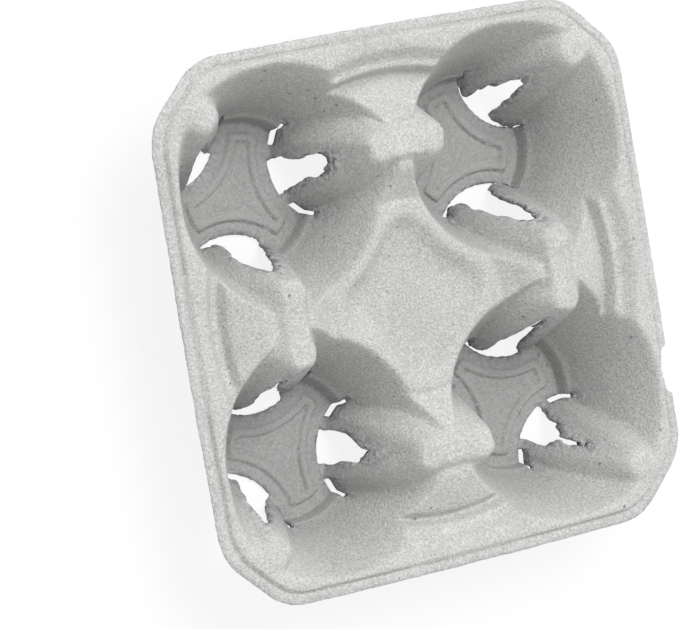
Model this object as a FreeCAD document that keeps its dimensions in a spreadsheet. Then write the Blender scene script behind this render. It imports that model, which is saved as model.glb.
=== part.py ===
import FreeCAD, Part
import math
import os

# Moulded fibre tray that carries four cups.
# One sheet, pressed between two mould halves: the upper face and the lower face
# are each built as a full block, and the tray is the first less the second.
# The frame has +Z up, X and Y along the sides, and Z = 0 on the underside of the cup floors.
# All lengths are in millimetres and all angles in degrees.

OUT_DIR = "parts"
os.makedirs(OUT_DIR, exist_ok=True)
doc = FreeCAD.newDocument("CupTray")

SIZES = (
    # outline and rim
    ("tray_width", 215.0, "across the flats, at the middle of the sides"),
    ("side_bow", 1.3, "how far each side bows out between its ends"),
    ("corner_chamfer", 25.0, "leg of each cut corner"),
    ("corner_round", 15.0, "radius where a cut corner meets a side"),
    ("sheet", 2.0, "thickness of the pulp"),
    ("ledge_height", 47.0, "top of the outer ledge above the base"),
    ("ledge_width", 4.6, "flat ledge outside the rim band"),
    ("band_step", 1.5, "height of the rim band above the ledge"),
    # cup wells
    ("well_pitch", 103.0, "between neighbouring well centres"),
    ("well_top_radius", 48.3, "well wall at the rim band"),
    ("shoulder_radius", 30.5, "well wall at the top of the steep foot"),
    ("floor_radius", 28.6, "cup floor, inside the foot"),
    ("foot_height", 7.0, "steep foot of the wall, above the cup floor"),
    ("corner_bulge", 10.0, "shift of the wall towards the tray corner, at the rim"),
    # spring fingers
    ("corner_finger_base", 26.6, "radius of a corner finger at the cup floor"),
    ("corner_finger_reach", 43.2, "its base centre from the well centre"),
    ("corner_tip_reach", 46.6, "its tip centre from the well centre"),
    ("corner_tip_rise", 0.8, "its tip above the rim band"),
    ("side_finger_base", 28.0, "radius of a side finger at the cup floor"),
    ("side_finger_reach", 43.9, "its base centre from the well centre"),
    ("side_finger_angle", 123.6, "its direction, from the corner finger"),
    ("side_tip_reach", 40.9, "its tip centre from the well centre"),
    ("side_tip_angle", 121.6, "direction of its tip, from the corner finger"),
    ("side_tip_rise", 3.9, "its tip above the rim band"),
    ("tip_radius", 6.0, "flat round top of every finger"),
    ("facet_foot", 3.6, "flat cut on the front of a finger, at the cup floor"),
    ("facet_top", 0.7, "the same flat, at the tip"),
    ("mouth_margin", 0.4, "from the finger base in to the edge of its mouth"),
    ("slit_width", 1.9, "torn slit at each end of a mouth"),
    ("slit_start", 28.0, "where a slit starts, in degrees about the finger base"),
    ("slit_sweep", 18.0, "arc of a slit, in degrees"),
    # raised ribs on the cup floors
    ("rib_height", 0.9, "raised loop on each cup floor"),
    ("rib_reach", 23.8, "outer end of the loop from the well centre"),
    ("rib_width", 3.6, "width of the loop"),
    ("rib_margin", 5.0, "from the edge of a mouth to the loop"),
    # middle platform
    ("platform_drop", 10.0, "platform top below the rim band"),
    ("platform_radius", 37.0, "platform towards a side"),
    ("crease_depth", 1.2, "crease around the platform, below its top"),
    ("dish_radius", 33.0, "dish edge towards a side"),
    ("dish_depth", 4.6, "dish floor below the platform top"),
    ("dish_slope_run", 7.0, "width of the sloping side of the dish"),
    ("crest_width", 3.6, "crest between the dish and each well"),
    # ridges between neighbouring wells
    ("bridge_inner", 55.0, "start of the level top of a ridge, from the middle"),
    ("bridge_outer", 66.0, "end of the level top"),
    ("bridge_rise", 3.2, "level top above the rim band"),
    ("fan_radius", 85.8, "outer edge of the fan that slopes down from the bridge"),
    ("fan_drop", 7.5, "outer edge of the fan below the rim band"),
    ("groove_depth", 3.6, "arc groove below the fan edge"),
    ("groove_wall_run", 1.6, "slope of either groove wall, in plan"),
    ("groove_floor_width", 1.6, "flat of the arc groove"),
    ("terrace_width", 2.9, "arc terrace outside the groove"),
    ("terrace_drop", 5.0, "terrace below the rim band"),
    ("bay_wall_run", 4.2, "slope from the terrace up to the rim band, in plan"),
    # damage
    ("nick_length", 19.0, "piece missing from the ledge on the +X side"),
    ("nick_depth", 3.6, "how far the missing piece reaches in"),
    ("nick_place", -50.0, "middle of the missing piece along Y"),
)

table = doc.addObject("Spreadsheet::Sheet", "Sizes")
for row, (name, value, note) in enumerate(SIZES, start=1):
    table.set("A%d" % row, name)
    table.set("B%d" % row, str(value))
    table.set("C%d" % row, note)
    table.setAlias("B%d" % row, name)

# The twelve mouths are torn, each in its own way. Wells go in turn from +X +Y, and each holds the
# corner finger, then the finger to its left and the one to its right, seen from the well centre.
# A tear is a ring of points: how far up from the clean arc towards the tip, as a share, and how far
# to the left in millimetres.
TEARS = (
    (((-0.10, 17.0), (0.36, 18.4), (0.25, 15.0), (0.17, 11.5), (0.13, 8.5), (0.20, 8.4), (0.28, 8.8),
      (0.40, 7.4), (0.46, 5.7), (0.56, 4.7), (0.67, 2.8), (0.64, -0.4), (0.53, -1.0), (0.45, -2.3),
      (0.38, -2.4), (0.28, -4.2), (0.18, -4.4), (0.14, -7.0), (0.15, -10.0), (0.21, -13.5),
      (0.34, -17.8), (-0.10, -17.0)),
     ((-0.10, 7.0), (0.20, 7.2), (0.40, 5.0), (0.60, 3.0), (0.63, 0.0), (0.45, -3.0), (0.30, -4.5),
      (-0.10, -7.0)),
     ((-0.10, 16.0), (0.37, 17.0), (0.24, 13.4), (0.16, 10.3), (0.20, 8.5), (0.32, 6.4), (0.43, 5.7),
      (0.61, 6.7), (0.76, 5.1), (0.86, 3.1), (0.87, -0.4), (0.78, -3.5), (0.66, -3.6), (0.60, -5.8),
      (0.42, -6.9), (0.36, -8.5), (0.23, -7.6), (0.24, -10.5), (0.26, -13.8), (0.38, -16.5),
      (0.50, -20.0), (-0.10, -19.0))),
    (((-0.10, 10.4), (0.13, 10.4), (0.32, 10.2), (0.52, 9.6), (0.68, 8.2), (0.80, 6.0), (0.82, 4.0),
      (0.70, 1.5), (0.50, -0.5), (0.30, -2.5), (0.20, -4.5), (0.05, -6.5), (-0.10, -6.5)),
     ((-0.10, 9.3), (0.10, 9.3), (0.20, 10.6), (0.30, 10.1), (0.50, 6.5), (0.66, 3.8), (0.79, 0.0),
      (0.82, -2.5), (0.78, -7.8), (0.61, -10.6), (0.52, -11.2), (0.36, -9.7), (0.27, -8.8),
      (0.30, -13.8), (0.36, -16.0), (0.47, -19.6), (-0.10, -19.0)),
     ((-0.10, 7.2), (0.13, 7.2), (0.31, 7.2), (0.37, 5.8), (0.43, 4.7), (0.59, 5.3), (0.67, 4.5),
      (0.70, 2.2), (0.65, -2.4), (0.53, -5.0), (0.47, -4.0), (0.38, -5.3), (0.31, -6.8), (0.18, -7.7),
      (-0.10, -7.7))),
    (((-0.10, 7.1), (0.20, 7.1), (0.42, 2.7), (0.56, 1.2), (0.76, -1.8), (0.85, -4.8), (0.87, -6.0),
      (0.80, -7.4), (0.63, -9.9), (0.46, -11.5), (0.35, -11.0), (0.26, -11.3), (0.32, -15.5),
      (-0.10, -15.0)),
     ((-0.10, 7.5), (0.10, 7.5), (0.33, 7.3), (0.41, 5.8), (0.51, 2.3), (0.60, -0.3), (0.58, -2.7),
      (0.52, -5.6), (0.43, -4.9), (0.36, -5.1), (0.34, -6.7), (0.15, -6.8), (-0.10, -6.8)),
     ((-0.10, 17.0), (0.44, 17.5), (0.38, 14.4), (0.36, 12.2), (0.41, 11.2), (0.52, 11.8),
      (0.63, 11.4), (0.78, 9.0), (0.88, 8.3), (0.92, 6.9), (0.76, 4.7), (0.57, 1.8), (0.42, -3.0),
      (0.27, -8.0), (-0.10, -8.0))),
    (((-0.10, 8.1), (0.14, 8.1), (0.23, 6.1), (0.27, 4.3), (0.36, 4.0), (0.38, 2.3), (0.44, 0.7),
      (0.46, -1.1), (0.53, -1.0), (0.66, -0.5), (0.66, -2.2), (0.50, -3.6), (0.40, -4.3), (0.37, -7.2),
      (0.30, -7.8), (0.19, -7.2), (0.11, -8.0), (-0.10, -8.0)),
     ((-0.10, 17.5), (0.43, 18.0), (0.30, 14.2), (0.22, 11.7), (0.16, 7.5), (0.18, 4.6), (0.27, 5.9),
      (0.36, 6.7), (0.40, 5.2), (0.54, 3.6), (0.71, 3.3), (0.84, 1.9), (0.80, -0.5), (0.70, -0.3),
      (0.61, -3.8), (0.39, -6.0), (0.28, -8.0), (0.17, -10.2), (-0.10, -10.2)),
     ((-0.10, 7.0), (0.30, 4.5), (0.45, 3.0), (0.62, 0.5), (0.60, -3.0), (0.40, -5.0), (0.20, -7.2),
      (-0.10, -7.0))),
)
doc.recompute()


def size(text):
    """Turn plain size names in a formula into spreadsheet references."""
    out = text
    for name in sorted((entry[0] for entry in SIZES), key=len, reverse=True):
        out = out.replace("<" + name + ">", "Sizes." + name)
    return out


def value(name):
    return float(table.get(name))


# Formulas shared by several features.
BAND = "(<ledge_height> + <band_step>)"
FLANK = "0.65 * <sheet>"
PLATFORM = "(" + BAND + " - <platform_drop>)"
FAN_Z = "(" + BAND + " - <fan_drop>)"
GROOVE_Z = "(" + FAN_Z + " - <groove_depth>)"
TERRACE_Z = "(" + BAND + " - <terrace_drop>)"
BRIDGE_Z = "(" + BAND + " + <bridge_rise>)"
GROOVE_IN = "(<fan_radius> + <groove_wall_run>)"
GROOVE_OUT = "(" + GROOVE_IN + " + <groove_floor_width>)"
TERRACE_IN = "(" + GROOVE_OUT + " + <groove_wall_run>)"
TERRACE_OUT = "(" + TERRACE_IN + " + <terrace_width>)"
BAY_TOP = "(" + TERRACE_OUT + " + <bay_wall_run>)"
WELL_SLOPE = "((<well_top_radius> - <shoulder_radius>) / (" + BAND + " - <sheet> - <foot_height>))"
WELL_AT_PLATFORM = "(<well_top_radius> - " + WELL_SLOPE + " * <platform_drop>)"


X_SIGN = (1, -1, -1, 1)
Y_SIGN = (1, 1, -1, -1)


def bind(obj, **formulas):
    for prop, formula in formulas.items():
        obj.setExpression(prop, size(formula))
    return obj


def place(obj, x="0", y="0", z="0", turn=None):
    """Tie the place of an object, and its turn about Z, to formulas."""
    if turn is not None:
        obj.Placement = FreeCAD.Placement(FreeCAD.Vector(), FreeCAD.Rotation(FreeCAD.Vector(0, 0, 1), 10))
        obj.setExpression("Placement.Rotation.Angle", size(turn))
    obj.setExpression("Placement.Base.x", size(x))
    obj.setExpression("Placement.Base.y", size(y))
    obj.setExpression("Placement.Base.z", size(z))
    return obj


def cone(label, low_radius, high_radius, low, high, x="0", y="0"):
    """Upright frustum between two heights."""
    obj = doc.addObject("Part::Cone", label)
    bind(obj, Radius1=low_radius, Radius2=high_radius, Height="(%s) - (%s)" % (high, low))
    return place(obj, x, y, low)


def cylinder(label, radius, low, high, x="0", y="0"):
    obj = doc.addObject("Part::Cylinder", label)
    bind(obj, Radius=radius, Height="(%s) - (%s)" % (high, low))
    return place(obj, x, y, low)


def leaning_cone(label, low, high):
    """Frustum whose two end circles have their own centres: each end is (radius, x, y, z)."""
    rings = []
    for end, (radius, x, y, z) in (("Low", low), ("High", high)):
        ring = doc.addObject("Part::Circle", label + end)
        bind(ring, Radius=radius)
        rings.append(place(ring, x, y, z))
    obj = doc.addObject("Part::Loft", label)
    obj.Sections = rings
    obj.Solid = True
    obj.Ruled = True
    return obj


def fuse(label, shapes):
    obj = doc.addObject("Part::MultiFuse", label)
    obj.Shapes = shapes
    obj.Refine = False
    return obj


def common(label, shapes):
    obj = doc.addObject("Part::MultiCommon", label)
    obj.Shapes = shapes
    obj.Refine = False
    return obj


def cut(label, base, tool):
    obj = doc.addObject("Part::Cut", label)
    obj.Base = base
    obj.Tool = tool
    obj.Refine = False
    return obj


def outline(label, inset, low, high):
    """Block with bowed sides and cut, rounded corners, drawn in by an inset all round."""
    bow_radius = "(<tray_width>^2 / (8 * <side_bow>))"
    half = "(<tray_width> / 2 - %s)" % inset
    walls = []
    for side, (sx, sy) in enumerate(((1, 0), (0, 1), (-1, 0), (0, -1))):
        away = "%d * (" + half + " - " + bow_radius + ")"
        walls.append(cylinder("%sSide%d" % (label, side), bow_radius, low, high, away % sx, away % sy))
    square = doc.addObject("Part::Box", label + "Diamond")
    flat = "(2 * (<tray_width> - <corner_chamfer>) / sqrt(2) - 2 * (%s))" % inset
    bind(square, Length=flat, Width=flat, Height="(%s) - (%s)" % (high, low))
    place(square, "0", "-(" + flat + ") / sqrt(2)", low, "45")
    blank = common(label + "Blank", walls + [square])
    doc.recompute()
    round_off = doc.addObject("Part::Fillet", label)
    round_off.Base = blank
    radius = value("corner_round")
    edges = []
    for number, edge in enumerate(blank.Shape.Edges, start=1):
        ends = [v.Point for v in edge.Vertexes]
        if len(ends) == 2 and abs(ends[0].x - ends[1].x) + abs(ends[0].y - ends[1].y) < 0.01:
            edges.append((number, radius, radius))
    round_off.Edges = edges
    return round_off


def finger_values(finger):
    """Names of the sizes of a corner finger or of a side finger, and its direction."""
    kind = "corner" if finger == 0 else "side"
    turn = "(%d * <side_finger_angle>)" % (0, 1, -1)[finger]
    off = "0" if finger == 0 else "(%d * (<side_tip_angle> - <side_finger_angle>))" % (0, 1, -1)[finger]
    return kind, turn, off


def place_in_well(obj, well, turn):
    """Move an object built along +X from a well centre to its own well and direction."""
    return place(obj, "%d * <well_pitch> / 2" % X_SIGN[well], "%d * <well_pitch> / 2" % Y_SIGN[well], "0",
                 "%d + %s" % (45 + 90 * well, turn))


def finger_solid(label, well, finger, base, floor, rise, shrink):
    """Leaning frustum with a flat front, along +X from the well centre."""
    kind, turn, off = finger_values(finger)
    radius = "<%s_finger_base>" % kind
    reach = "<%s_finger_reach>" % kind
    tip_x = "(<%s_tip_reach> * cos(%s))" % (kind, off)
    tip_y = "(<%s_tip_reach> * sin(%s))" % (kind, off)
    stretch = "(((%s) - (%s)) / ((%s) - (%s)))" % (rise, base, rise, floor)
    body = leaning_cone(
        "%sFinger%d%dRound" % (label, well, finger),
        ("<tip_radius> + (%s - <tip_radius>) * %s%s" % (radius, stretch, shrink),
         "%s + (%s - %s) * %s" % (tip_x, reach, tip_x, stretch), "%s - %s * %s" % (tip_y, tip_y, stretch), base),
        ("<tip_radius>" + shrink, tip_x, tip_y, rise))
    front = doc.addObject("Part::Wedge", "%sFinger%d%dFront" % (label, well, finger))
    foot = "(%s - %s + <facet_foot>)%s" % (reach, radius, shrink.replace("-", "+"))
    head = "(<%s_tip_reach> - <tip_radius> + <facet_top>)%s" % (kind, shrink.replace("-", "+"))
    bind(front, Xmin="-5", X2min="-5", Xmax="%s + (%s - %s) * (1 - %s)" % (foot, head, foot, stretch), X2max=head,
         Ymin="0", Ymax="(%s) - (%s)" % (rise, base), Zmin="-30", Z2min="-30", Zmax="30", Z2max="30")
    front.Placement = FreeCAD.Placement(FreeCAD.Vector(), FreeCAD.Rotation(FreeCAD.Vector(1, 0, 0), 90))
    front.setExpression("Placement.Base.z", size(base))
    return place_in_well(cut("%sFinger%d%d" % (label, well, finger), body, front), well, turn)


def mouth_tool(well, finger):
    """Torn mouth of one finger: the tear above the clean arc, and a slit at each end of the arc."""
    kind, turn, _ = finger_values(finger)
    name = "Mouth%d%d" % (well, finger)
    reach = "<%s_finger_reach>" % kind
    arc = "(<%s_finger_base> - <mouth_margin>)" % kind
    low, high = "-2", "(" + BAND + " + 12)"
    near = value("corner_finger_reach" if finger == 0 else "side_finger_reach") + value("mouth_margin") \
        - value("corner_finger_base" if finger == 0 else "side_finger_base")
    far = value("corner_tip_reach" if finger == 0 else "side_tip_reach") - value("tip_radius")
    ring = doc.addObject("Part::Polygon", name + "Ring")
    ring.Nodes = [FreeCAD.Vector(near + share * (far - near), left, -2) for share, left in TEARS[well][finger]]
    ring.Close = True
    tear = doc.addObject("Part::Extrusion", name + "Tear")
    tear.Base = ring
    tear.DirMode = "Custom"
    tear.Dir = FreeCAD.Vector(0, 0, 1)
    tear.Solid = True
    tear.setExpression("LengthFwd", size(high + " + 2"))
    pieces = [common(name + "Open", [cylinder(name + "Arc", arc, low, high, reach), tear])]
    widest = max(left for _, left in TEARS[well][finger])
    narrowest = min(left for _, left in TEARS[well][finger])
    clear = value("side_finger_base") * math.sin(math.radians(value("slit_start") - 7))
    for end, start, free in (("Right", "(180 + <slit_start>)", -narrowest < clear),
                             ("Left", "(180 - <slit_start> - <slit_sweep>)", widest < clear)):
        if not free:
            continue
        wide = cylinder(name + end + "Wide", arc, low, high)
        wide.setExpression("Angle", size("<slit_sweep>"))
        place(wide, reach, "0", low, start)
        inner = cylinder(name + end + "Inner", arc + " - <slit_width>", "-3", high + " + 1", reach)
        pieces.append(cut(name + end, wide, inner))
    return place_in_well(fuse(name, pieces) if len(pieces) > 1 else pieces[0], well, turn)


def rib_loop(label, well):
    """Three-armed loop on a cup floor; its sides run along the three mouths."""
    high = "(<sheet> + <rib_height>)"
    plates = []
    for part, end, side in (("Outer", "<rib_reach>", "<rib_margin>"),
                            ("Inner", "<rib_reach> - <rib_width>", "<rib_margin> + <rib_width>")):
        disc = cylinder("%s%sDisc%d" % (label, part, well), end, "<sheet> / 2", high)
        sides = []
        for finger in range(3):
            kind, turn, _ = finger_values(finger)
            around = "<%s_finger_base> - <mouth_margin> + %s" % (kind, side)
            reach = "<%s_finger_reach>" % kind
            sides.append(cylinder("%s%sSide%d%d" % (label, part, well, finger), around, "0", high + " + 1",
                                  "%s * cos(%s)" % (reach, turn), "%s * sin(%s)" % (reach, turn)))
        plates.append(cut("%s%sPlate%d" % (label, part, well), disc, fuse("%s%sSides%d" % (label, part, well), sides)))
    return place_in_well(cut("%sRib%d" % (label, well), plates[0], plates[1]), well, "0")


def mould_half(label, under):
    """Solid below the upper face of the sheet, or below its lower face when under is set."""
    drop = " - <sheet>" if under else ""
    grow = " + " + FLANK if under else ""
    shrink = " - " + FLANK if under else ""
    bottom = "-12" if under else "0"
    base = "-6" if under else "0.2 * <sheet>"

    def level(z):
        return "(" + z + drop + ")"

    # Rim: ledge, then the band inside it.
    if under:
        ledge = outline(label + "Ledge", "-8", bottom, level("<ledge_height>"))
    else:
        ledge = outline(label + "Ledge", "0", bottom, level("<ledge_height>"))
    band = outline(label + "Band", "(<ledge_width>%s)" % grow, bottom, level(BAND))
    body = fuse(label + "Rim", [ledge, band])

    # Round bay in the middle of the tray, out to the rim band: wall, terrace and groove.
    high = "(" + BAND + " + 10)"
    bay = fuse(label + "Bay", [
        cone(label + "BayWall", TERRACE_OUT + grow, BAY_TOP + grow, level(TERRACE_Z), level(BAND)),
        cylinder(label + "BayMouth", BAY_TOP + grow, level(BAND), high),
        cone(label + "GrooveWall", GROOVE_OUT + grow, TERRACE_IN + grow, level(GROOVE_Z), level(TERRACE_Z)),
    ])
    body = cut(label + "Bayed", body, bay)

    # Fan that rises from the groove to the bridge, less the hollow around the platform.
    fan = fuse(label + "Fan", [
        cone(label + "FanFoot", GROOVE_IN + shrink, "<fan_radius>" + shrink, level(GROOVE_Z), level(FAN_Z)),
        cone(label + "FanSlope", "<fan_radius>" + shrink, "<bridge_outer>" + shrink, level(FAN_Z), level(BRIDGE_Z)),
        cylinder(label + "FanCore", GROOVE_IN + shrink, bottom, level(GROOVE_Z)),
    ])
    hollow = cone(label + "Hollow", "(<platform_radius> + <crease_depth>)" + grow, "<bridge_inner>" + grow,
                  level("(" + PLATFORM + " - <crease_depth>)"), level(BRIDGE_Z))
    hollow_top = cylinder(label + "HollowTop", "<bridge_inner>" + grow, level(BRIDGE_Z), high)
    fan = cut(label + "FanCut", fan, fuse(label + "HollowAll", [hollow, hollow_top]))
    platform = cone(label + "Platform", "(<platform_radius> + <crease_depth>)" + shrink, "<platform_radius>" + shrink,
                    level("(" + PLATFORM + " - 2 * <crease_depth>)"), level(PLATFORM))

    # Dish in the platform; its sides stand off from the four wells by the crest.
    dish = cone(label + "DishRound", "(<dish_radius> - <dish_slope_run>)" + grow, "<dish_radius>" + grow,
                level("(" + PLATFORM + " - <dish_depth>)"), level(PLATFORM))
    dish_over = cylinder(label + "DishOver", "<dish_radius>" + grow, level(PLATFORM), level("(" + PLATFORM + " + 3)"))
    keep = []
    for well in range(4):
        x = "%d * <well_pitch> / 2" % X_SIGN[well]
        y = "%d * <well_pitch> / 2" % Y_SIGN[well]
        near = "(" + WELL_AT_PLATFORM + " + <crest_width>)" + shrink
        keep.append(cone("%sCrest%d" % (label, well), "(" + near + " + <dish_slope_run>)", near,
                         level("(" + PLATFORM + " - <dish_depth>)"), level(PLATFORM), x, y))
        keep.append(cylinder("%sCrestTop%d" % (label, well), near, level(PLATFORM),
                             level("(" + PLATFORM + " + 3)"), x, y))
    dish = cut(label + "Dish", fuse(label + "DishAll", [dish, dish_over]), fuse(label + "Crests", keep))
    body = fuse(label + "Middle", [body, fan, platform])
    body = cut(label + "Dished", body, dish)

    # Wells: floor and steep foot, then the wall, which bulges towards the tray corner at the rim.
    wells = []
    shoulder = level("(<sheet> + <foot_height>)")
    over = "20"
    for well in range(4):
        sx, sy = X_SIGN[well], Y_SIGN[well]
        x = "%d * <well_pitch> / 2" % sx
        y = "%d * <well_pitch> / 2" % sy
        wells.append(cone("%sFoot%d" % (label, well), "<floor_radius>" + grow, "<shoulder_radius>" + grow,
                          level("<sheet>"), shoulder, x, y))
        top_radius = "(<well_top_radius> + %s * %s)%s" % (over, WELL_SLOPE, grow)
        wells.append(cone("%sWall%d" % (label, well), "<shoulder_radius>" + grow, top_radius,
                          shoulder, level("(" + BAND + " + " + over + ")"), x, y))
        shift = "(<corner_bulge> * (1 + %s / (%s - <sheet> - <foot_height>)))" % (over, BAND)
        wells.append(leaning_cone(
            "%sBulge%d" % (label, well),
            ("<shoulder_radius> - 0.6%s" % grow, x, y, shoulder),
            ("%s - %s" % (top_radius, shift), "%s + %d * %s" % (x, sx, shift),
             "%s + %d * %s" % (y, sy, shift), level("(" + BAND + " + " + over + ")"))))
        if under:
            wells.append(cylinder("%sThrough%d" % (label, well), "<floor_radius>" + grow, "-14", "0", x, y))
    body = cut(label + "Welled", body, fuse(label + "Wells", wells))

    # Fingers, the bridge that joins the pair of tips on each ridge, and the ribs on the cup floors.
    added = []
    corners = []
    for well in range(4):
        for finger in range(3):
            kind = "corner" if finger == 0 else "side"
            solid = finger_solid(label, well, finger, base, level("<sheet>"),
                                 level("(" + BAND + " + <%s_tip_rise>)" % kind), shrink)
            (added if finger or under else corners).append(solid)
        if not under:
            added.append(rib_loop(label, well))
    if corners:
        limit = outline(label + "Limit", "(<ledge_width> / 4)", "-1", "(" + BAND + " + 9)")
        added.append(common(label + "Corners", [fuse(label + "CornerFingers", corners), limit]))
    tip_x = "(<well_pitch> / 2 + <side_tip_reach> * cos(45 + <side_tip_angle>))"
    for ridge in range(4):
        bridge = doc.addObject("Part::Wedge", "%sBridge%d" % (label, ridge))
        bind(bridge,
             Xmin="-(%s + 3)" % tip_x, Xmax="%s + 3" % tip_x, X2min="-" + tip_x, X2max=tip_x,
             Ymin=level("(" + PLATFORM + " - 8)"), Ymax=level(BRIDGE_Z),
             Zmin="-(<bridge_outer> + 7%s)" % shrink, Zmax="-(<bridge_inner> - 7%s)" % grow,
             Z2min="-(<bridge_outer>%s)" % shrink, Z2max="-(<bridge_inner>%s)" % grow)
        bridge.Placement = FreeCAD.Placement(FreeCAD.Vector(), FreeCAD.Rotation(90 * ridge, 0, 90))
        added.append(bridge)
    return fuse(label + "Half", [body] + added)


upper = mould_half("Upper", False)
lower = mould_half("Lower", True)
sheet_solid = cut("MouldedSheet", upper, lower)
mouths = fuse("Mouths", [mouth_tool(well, finger) for well in range(4) for finger in range(3)])
opened = cut("OpenedSheet", sheet_solid, mouths)
nick = doc.addObject("Part::Wedge", "Nick")
bind(nick, Xmin="<nick_place> - <nick_length> / 2", Xmax="<nick_place> + <nick_length> / 2",
     X2min="<nick_place> - <nick_length> / 2 - 2", X2max="<nick_place> + <nick_length> / 2 + 3",
     Ymin="<tray_width> / 2 - <nick_depth> - <side_bow> / 4", Ymax="<tray_width> / 2 + 5",
     Zmin="<ledge_height> - 10", Zmax="<ledge_height> + 10", Z2min="<ledge_height> - 10", Z2max="<ledge_height> + 10")
nick.Placement = FreeCAD.Placement(FreeCAD.Vector(), FreeCAD.Rotation(-90, 0, 0))
tray = cut("carrier_tray", opened, nick)
doc.recompute()
for obj in doc.Objects:
    if "Invalid" in obj.State or "Error" in obj.State:
        raise RuntimeError("%s did not build: %s" % (obj.Label, obj.State))
for before, after in ((upper, sheet_solid), (sheet_solid, opened), (opened, tray)):
    if not after.Shape.Volume < before.Shape.Volume:
        raise RuntimeError("%s took nothing away" % after.Label)
if tray.Shape.isNull() or not tray.Shape.isValid() or len(tray.Shape.Solids) != 1:
    raise RuntimeError("%s is not one sound solid" % tray.Label)
print(tray.Label, round(tray.Shape.Volume), "mm3", tray.Shape.BoundBox)
tray.Shape.exportStep(os.path.join(OUT_DIR, tray.Label + ".step"))
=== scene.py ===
import math

import bpy
import numpy as np
from bpy.props import FloatProperty, FloatVectorProperty, IntProperty, PointerProperty
from mathutils import Matrix, Vector


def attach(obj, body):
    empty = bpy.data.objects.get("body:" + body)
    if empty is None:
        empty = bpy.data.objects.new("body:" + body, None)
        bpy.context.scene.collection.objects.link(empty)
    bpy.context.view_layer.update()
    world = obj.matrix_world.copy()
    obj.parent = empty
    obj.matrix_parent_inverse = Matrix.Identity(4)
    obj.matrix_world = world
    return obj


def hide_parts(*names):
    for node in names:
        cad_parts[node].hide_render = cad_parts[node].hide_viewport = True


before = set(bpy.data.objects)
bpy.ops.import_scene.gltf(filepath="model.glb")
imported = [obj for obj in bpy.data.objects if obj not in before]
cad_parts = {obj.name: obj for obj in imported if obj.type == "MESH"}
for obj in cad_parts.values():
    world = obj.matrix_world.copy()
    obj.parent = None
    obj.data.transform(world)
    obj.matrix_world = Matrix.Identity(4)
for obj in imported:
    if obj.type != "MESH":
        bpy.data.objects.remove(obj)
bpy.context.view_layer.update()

bl_info = {
    "name": "Moulded Pulp Cup Tray",
    "version": (1, 0, 0),
    "blender": (4, 5, 0),
    "location": "3D View > Sidebar > Cup Tray",
    "description": "Builds the pressed pulp tray, its torn openings, its finish and a plain studio",
    "category": "Add Mesh",
}

NODE = "carrier_tray"

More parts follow.
